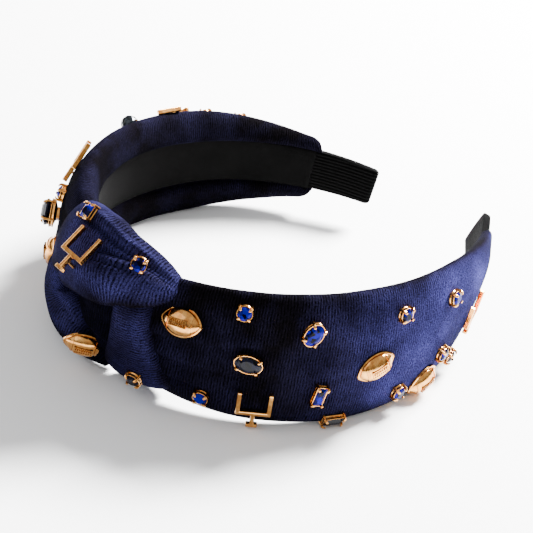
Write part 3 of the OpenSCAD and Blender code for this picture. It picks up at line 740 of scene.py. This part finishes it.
def block(low, high):
    """Shape of a box between two opposite corners."""
    x, y, z = zip(low, high)
    ring = [[x[0], y[0]], [x[1], y[0]], [x[1], y[1]], [x[0], y[1]]]
    return loops([[p + [h] for p in ring] for h in z])


# ---------------------------------------------------------------- footballs
# length, width and height in mm, the height its dome starts at, and how far its rim stands out
BALL_L, BALL_W, BALL_H, BALL_FOOT, RIM = 13.5, 9.0, 3.6, 0.5, 0.45


def ball_half_width(t):
    """Half width at t, a share of the half length from -1 to 1."""
    return BALL_W / 2 * (1 - np.abs(t) ** 2.3) ** 0.85


def ball_height(x, y):
    """Height of the dome at x along the football and y across it."""
    w = ball_half_width(2 * x / BALL_L)
    return BALL_FOOT + (BALL_H - BALL_FOOT) * math.sqrt(max(w * w - y * y, 0)) / (BALL_W / 2)


def ball_edge(grow, h):
    """Outline of the football grown outward by grow, at height h."""
    t = np.linspace(-1, 1, 25)
    up = [[(BALL_L / 2 + grow) * ti, wi + grow, h] for ti, wi in zip(t, ball_half_width(t))]
    return up + [[x, -y, h] for x, y, h in reversed(up)]


def football(name, s, z, spin, lift=0.0, facing=None):
    """Domed football, pointed at both ends, on a thin rim, with two seam bands and a panel of laces
    standing up from the dome. Each section across it is half an ellipse: the height goes with the
    sine of the way round and with the width there."""
    at = perch(s, z, spin, lift, facing)
    heap = Heap()
    t = np.linspace(-1, 1, 25)
    dome = []
    for ti, wi in zip(t, np.maximum(ball_half_width(t), 0.05)):
        x, rise = BALL_L / 2 * ti, (BALL_H - BALL_FOOT) * (wi / (BALL_W / 2))
        arc = [[x, wi * math.cos(a), BALL_FOOT + rise * math.sin(a)] for a in np.linspace(0, math.pi, 15)]
        dome.append(arc + [[x, -wi * 0.9, 0.0], [x, wi * 0.9, 0.0]])
    heap.put(loops(dome), at)
    heap.put(loops([ball_edge(0, 0), ball_edge(RIM, 0.0), ball_edge(RIM, 0.55), ball_edge(RIM * 0.4, 0.8),
                    ball_edge(-0.1, 0.75)]), at)
    for seam in (-0.62, 0.62):
        band = []
        for dx in (-0.35, 0.35):
            x = seam * BALL_L / 2 + dx
            w = ball_half_width(2 * x / BALL_L)
            ys = [w * math.cos(v) for v in np.linspace(0.15, math.pi - 0.15, 11)]
            arc = [[x, y, ball_height(x, y) + 0.3] for y in ys]
            band.append(arc + [[x, y * 0.9, h - 0.6] for x, y, h in reversed(arc)])
        heap.put(loops(band), at)
    # the panel's long sides, its ends and its middle line, then seven laces: where each starts and
    # ends along and across the football, and how far it stands over the top of the dome
    bars = [(-2.9, 2.9, -1.35, -0.95, 0.12), (-2.9, 2.9, 0.95, 1.35, 0.12), (-3.1, -2.7, -1.35, 1.35, 0.05),
            (2.7, 3.1, -1.35, 1.35, 0.05), (-2.7, 2.7, -0.2, 0.2, 0.3)]
    bars += [(k * 0.75 - 0.14, k * 0.75 + 0.14, -0.95, 0.95, 0.35) for k in range(-3, 4)]
    top = ball_height(0, 0)
    for x0, x1, y0, y1, over in bars:
        heap.put(block((x0, y0, 1.5), (x1, y1, top + over)), at)
    piece = heap.piece(name + "_metal", GOLD, 0)
    piece.data.polygons.foreach_set("use_smooth", [p.index < 24 * 17 for p in piece.data.polygons])
    return finish_piece(piece, "gold_plate", name)


# place along and up the band in mm, turn in degrees, and for some the lift in mm and the facing
FOOTBALLS = {"football_1": (-21, 10, 4, 0.5, (-0.12, 0.9, 0.4)), "football_2": (-81, -2, 25),
             "football_3": (9, -15.5, -20, 0, (0.72, 0.66, -0.2)), "football_4": (47, -9, 70),
             "football_5": (-106, -17.2, 20), "football_6": (76, 4, 30)}

# ---------------------------------------------------------------- goal posts
# width, height of the uprights, length of the stem, half width of its foot, of a bar, and thickness
GOAL_W, GOAL_UP, GOAL_STEM, GOAL_FOOT, BAR, GOAL_THICK = 11.5, 8.5, 5.0, 1.9, 0.7, 1.7


def goal_post(name, s, z, spin, lift=0.15, facing=None):
    """Goal post: one outline of crossbar, uprights, stem and foot, drawn out to its thickness and
    rounded at its edges, with two pegs behind it that go into the cloth."""
    at = perch(s, z, spin, lift, facing)
    w, top, inner, low = GOAL_W / 2, GOAL_UP + BAR, GOAL_W / 2 - 2 * BAR, -GOAL_STEM - 1.3
    half = [[GOAL_FOOT, low], [GOAL_FOOT, -GOAL_STEM], [BAR, -GOAL_STEM], [BAR, -BAR], [w, -BAR], [w, top],
            [inner, top], [inner, BAR]]
    whole = half + [[-x, y] for x, y in reversed(half)]
    heap = Heap()
    heap.put(loops([[p + [h] for p in whole] for h in (0, GOAL_THICK)]), at)
    for y in (-GOAL_STEM * 0.5, 0.0):
        heap.put(block((-0.5, y - 0.5, -lift - 1.0), (0.5, y + 0.5, 0.4)), at)
    return finish_piece(heap.piece(name + "_metal", GOLD, 0.28), "gold_plate", name)


# placed as the footballs are
GOALS = {"goal_1": (-45.5, -18, 3), "goal_2": (-135, -6, 10),
         "goal_3": (8.5, 20.3, 0, 2.4, (-0.11, 0.61, 0.78)), "goal_4": (57, 19, 25),
         "goal_5": (111, 18.2, -90, 0.15, (0, 0.75, 0.66))}

# ---------------------------------------------------------------- stones and settings
# shape, length and width of each kind of stone, in mm, and the height of a cup
ROUND_STONE, SQUARE, OVAL = ("round", 4.7, 4.7), ("square", 4.7, 4.7), ("round", 7.8, 5.8)
LARGE_OVAL, LONG_STONE, EIGHT = ("round", 7.8 * 1.15, 5.8), ("long", 6.8, 3.3), ("octagon", 8.5, 8.5)
CUP_H = 2.1
# section of a cup, as how far it stands out from the stone's edge and its height
CUP = [(-0.6, 0.0), (0.15, 0.0), (0.3, 0.35), (0.15, 0.7), (0.15, 1.1), (0.3, CUP_H * 0.75),
       (0.25, CUP_H * 0.85), (0.03, CUP_H * 0.85), (0.02, 1.0), (-0.5, 0.5)]
# section of the plinth under the octagon's cup, in the same way
PLINTH = [(-1.6, -3.2), (-1.6, -0.6), (-0.2, 0.1)]
# height, radius and lean inward of a claw, from its foot to its tip
CLAW = [(0.0, 0.5, 0), (1.6, 0.45, 0), (2.2, 0.48, 0.1), (2.65, 0.5, 0.45), (2.9, 0.36, 0.7),
        (2.98, 0.12, 0.8)]


def outline(shape, l, w, grow, count, turn=0.0):
    """Outline of a stone grown outward by grow: an ellipse, a rectangle with cut corners, or an
    octagon, as a list of x and y."""
    if shape == "round":
        a = np.arange(count) / count * 2 * math.pi + turn
        return [[(l / 2 + grow) * math.cos(v), (w / 2 + grow) * math.sin(v)] for v in a]
    x, y, c = l / 2 + grow, w / 2 + grow, (l * 0.29 if shape == "octagon" else 0.35)
    return [[x, -y + c], [x, y - c], [x - c, y], [-x + c, y],
            [-x, y - c], [-x, -y + c], [-x + c, -y], [x - c, -y]]


def scaled(ring, k, h):
    """An outline scaled by k, at height h."""
    return [[x * k, y * k, h] for x, y in ring]


def stone(name, spot, kind, material, slot):
    """Cut stone: a pointed back, a girdle, and a crown of facets rising to a flat table."""
    shape, l, w = kind
    high = 1.9 if shape == "octagon" else 1.0
    count = 16
    girdle = outline(shape, l, w, 0, count)
    if shape == "round":
        half = outline(shape, l, w, 0, count, math.pi / count)
        rings = [scaled(girdle, 0.45, 0.6), scaled(girdle, 1.0, 1.5), scaled(half, 0.99, 1.75),
                 scaled(girdle, 0.8, 2.25), scaled(half, 0.56, 2.6)]
    else:
        inner, table = (outline(shape, l, w, -share * high, count) for share in (0.55, 1.0))
        rings = [scaled(girdle, 0.6, 0.6), scaled(girdle, 1.0, 1.4 * high), scaled(girdle, 1.0, 1.7 * high),
                 scaled(inner, 1.0, 2.2 * high), scaled(table, 1.0, 2.5 * high)]
    heap = Heap()
    heap.put(loops(rings), spot)
    return finish_piece(heap.piece(name + "_glass", material, 0), slot, name)


def setting(heap, spot, kind):
    """Open cup round a stone with four claws whose rounded tips lean in over its edge."""
    shape, l, w = kind
    high, claw_high = (0.9, 1.55) if shape == "octagon" else (1.0, 1.0)
    cup = [[p + [h * high] for p in outline(shape, l, w, grow, 24)] for grow, h in CUP]
    points, faces = loops(cup, closed=False)
    cols = len(cup[0])
    last = len(points) - cols
    faces += [[last + i, i, (i + 1) % cols, last + (i + 1) % cols] for i in range(cols)]
    heap.put((points, faces), spot)
    if shape == "octagon":
        heap.put(loops([[p + [h] for p in outline(shape, l, w, grow, 8)] for grow, h in PLINTH]), spot)
    corner = math.atan2(w, l) if shape == "long" else math.pi / 4
    for k, v in enumerate((corner, math.pi - corner, math.pi + corner, -corner)):
        if shape == "round":
            x, y = (l / 2 + 0.45) * math.cos(v), (w / 2 + 0.45) * math.sin(v)
        elif shape == "octagon":
            x, y = (l / 2 + 0.2) * math.cos(k * math.pi / 2), (l / 2 + 0.2) * math.sin(k * math.pi / 2)
        else:
            x, y = (l / 2 + 0.15) * np.sign(math.cos(v)), (w / 2 + 0.15) * np.sign(math.sin(v))
        lean = 1 / math.hypot(x, y)
        claw = []
        for h, r, inward in CLAW:
            cx, cy = x * (1 - inward * lean), y * (1 - inward * lean)
            around = np.arange(10) / 10 * 2 * math.pi
            claw.append([[cx + r * math.cos(q), cy + r * math.sin(q), h * claw_high] for q in around])
        heap.put(loops(claw), spot)


# the stones over each settings piece: place along and up the band in mm, turn in degrees, kind and
# glass
STONES = {
    "near": {"stone_n1": (-38, 18, 0, ROUND_STONE, BLUE), "stone_n2": (-58.5, 13, 60, OVAL, BLUE),
             "stone_n3": (-41.5, 1, -8, LARGE_OVAL, DARK), "stone_n4": (-30, -16, 0, ROUND_STONE, BLUE),
             "stone_n5": (-63.5, -10, 80, LONG_STONE, BLUE), "stone_n6": (-70.5, -21.5, 0, LONG_STONE, DARK),
             "stone_n7": (-89.5, 15, 0, ROUND_STONE, BLUE), "stone_n8": (-93, -16, 0, ROUND_STONE, BLUE),
             "stone_n9": (-113, 13, 0, ROUND_STONE, BLUE), "stone_n10": (-113, -9, 0, ROUND_STONE, BLUE),
             "stone_n11": (-122, -15, 0, ROUND_STONE, DARK)},
    "knot": {"stone_k1": (16, 29.5, 15, SQUARE, BLUE), "stone_k2": (-7, 26.5, 0, ROUND_STONE, BLUE),
             "stone_k3": (-11, -14.5, 0, ROUND_STONE, DARK)},
    "far": {"stone_f1": (125, 15, 0, ROUND_STONE, BLUE), "stone_f2": (138, 13, 0, ROUND_STONE, BLUE),
            "stone_f3": (49, 13, 0, ROUND_STONE, BLUE), "stone_f4": (50, 4, 0, EIGHT, DARK),
            "stone_f5": (72, -14, 70, OVAL, BLUE), "stone_f6": (90, -12, 0, ROUND_STONE, DARK),
            "stone_f7": (104, 0, 0, LONG_STONE, BLUE), "stone_f8": (130, -3, 0, ROUND_STONE, BLUE)}}

for name, spot in FOOTBALLS.items():
    football(name, *spot)
for name, spot in GOALS.items():
    goal_post(name, *spot)
for group, stones in STONES.items():
    cups = Heap()
    for name, (s, z, spin, kind, material) in stones.items():
        facing = (-0.15, 0.72, 0.68) if kind == SQUARE else None
        spot = perch(s, z, spin, 1.6 if kind == EIGHT else 0.1, facing)
        stone(name, spot, kind, material, "blue_stone" if material == BLUE else "dark_stone")
        setting(cups, spot, kind)
    group_name = "settings_" + group
    finish_piece(cups.piece(group_name + "_metal", GOLD, 0.05), "gold_plate", group_name)

# ---------------------------------------------------------------- pearl
PEARL_D, PEARL_FACETS = 6.5, 12


def pearl_ring(row, b):
    """One ring of the faceted pearl, at angle b from its lowest point, each second ring turned by
    half a facet."""
    r, turn = PEARL_D / 2 * math.sin(b), (row % 2) * math.pi / PEARL_FACETS
    around = np.arange(PEARL_FACETS) / PEARL_FACETS * 2 * math.pi
    return [[r * math.cos(a + turn), r * math.sin(a + turn), -PEARL_D / 2 * math.cos(b)] for a in around]


pearl_heap = Heap()
pearl_heap.put(loops([pearl_ring(row, b) for row, b in enumerate(np.linspace(0.25, math.pi - 0.25, 8))]),
               perch(92, 19, 0, 1.0))
finish_piece(pearl_heap.piece("pearl_glass", PEARL, 0), "dark_pearl", "pearl")

# ---------------------------------------------------------------- the hidden strip keeps its CAD shape
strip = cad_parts["core"]
STRIP = strip_plastic()
for index in range(max(len(strip.material_slots), 1)):
    if strip.material_slots:
        strip.material_slots[index].material = STRIP
    else:
        strip.data.materials.append(STRIP)

# ---------------------------------------------------------------- floor, light and camera
bpy.ops.mesh.primitive_plane_add(size=12, location=(0.06, 0, -0.0002))
floor = bpy.context.object
floor.name = "floor"
floor.data.materials.append(paper("ffffff"))

TARGET = Vector((0.06075, -0.00931, REST_H))
AZIMUTH, ELEVATION, TILT = math.radians(52.8565), math.radians(34.0105), math.radians(9.564)
DISTANCE, LENS = 0.638492, 127.1
level = math.cos(ELEVATION)
back = Vector((-math.sin(AZIMUTH) * level, -math.cos(AZIMUTH) * level, math.sin(ELEVATION)))
right = (-back).cross(Vector((0, 0, 1))).normalized()
upward = right.cross(-back)
right, upward = (right * math.cos(TILT) + upward * math.sin(TILT),
                 upward * math.cos(TILT) - right * math.sin(TILT))
camera = bpy.data.objects.new("camera", bpy.data.cameras.new("camera"))
camera.data.lens = LENS
camera.data.sensor_width = 36
camera.data.clip_start = 0.01
turn = Matrix((right, upward, back)).transposed().to_4x4()
camera.matrix_world = Matrix.Translation(TARGET + back * DISTANCE) @ turn
bpy.context.scene.collection.objects.link(camera)
bpy.context.scene.camera = camera


def area_light(name, direction, distance, size, power, tone):
    """A soft square light, aimed at the band from a direction."""
    light = bpy.data.objects.new(name, bpy.data.lights.new(name, "AREA"))
    light.data.size, light.data.energy, light.data.color = size, power, linear(tone)[:3]
    direction = Vector(direction).normalized()
    light.location = TARGET + direction * distance
    light.rotation_euler = direction.to_track_quat("Z", "Y").to_euler()
    bpy.context.scene.collection.objects.link(light)


ahead = Vector((-back.x, -back.y, 0)).normalized()
beside = ahead.cross(Vector((0, 0, 1)))
# the key comes from the far right and stands high; the weak fill comes from the near left
area_light("key", beside * 0.65 + ahead * 0.8 + Vector((0, 0, 0.95)), 0.9, 0.3, 110, "ffffff")
area_light("fill", beside * -0.9 - ahead * 0.5 + Vector((0, 0, 0.8)), 1.0, 0.8, 3, "f4f7ff")
world = bpy.data.worlds.new("studio")
bpy.context.scene.world = world
world.use_nodes = True
sky = world.node_tree
direction = node(sky, "SeparateXYZ", {}, Vector=node(sky, "TexCoord").outputs["Generated"]).outputs[2]
glow = node(sky, "MapRange", {}, Value=direction, From_Min=0.05, From_Max=0.6, To_Min=0.1, To_Max=0.9)
sky.links.new(glow.outputs[0], sky.nodes["Background"].inputs[1])
sky.nodes["Background"].inputs[0].default_value = (1, 1, 1, 1)
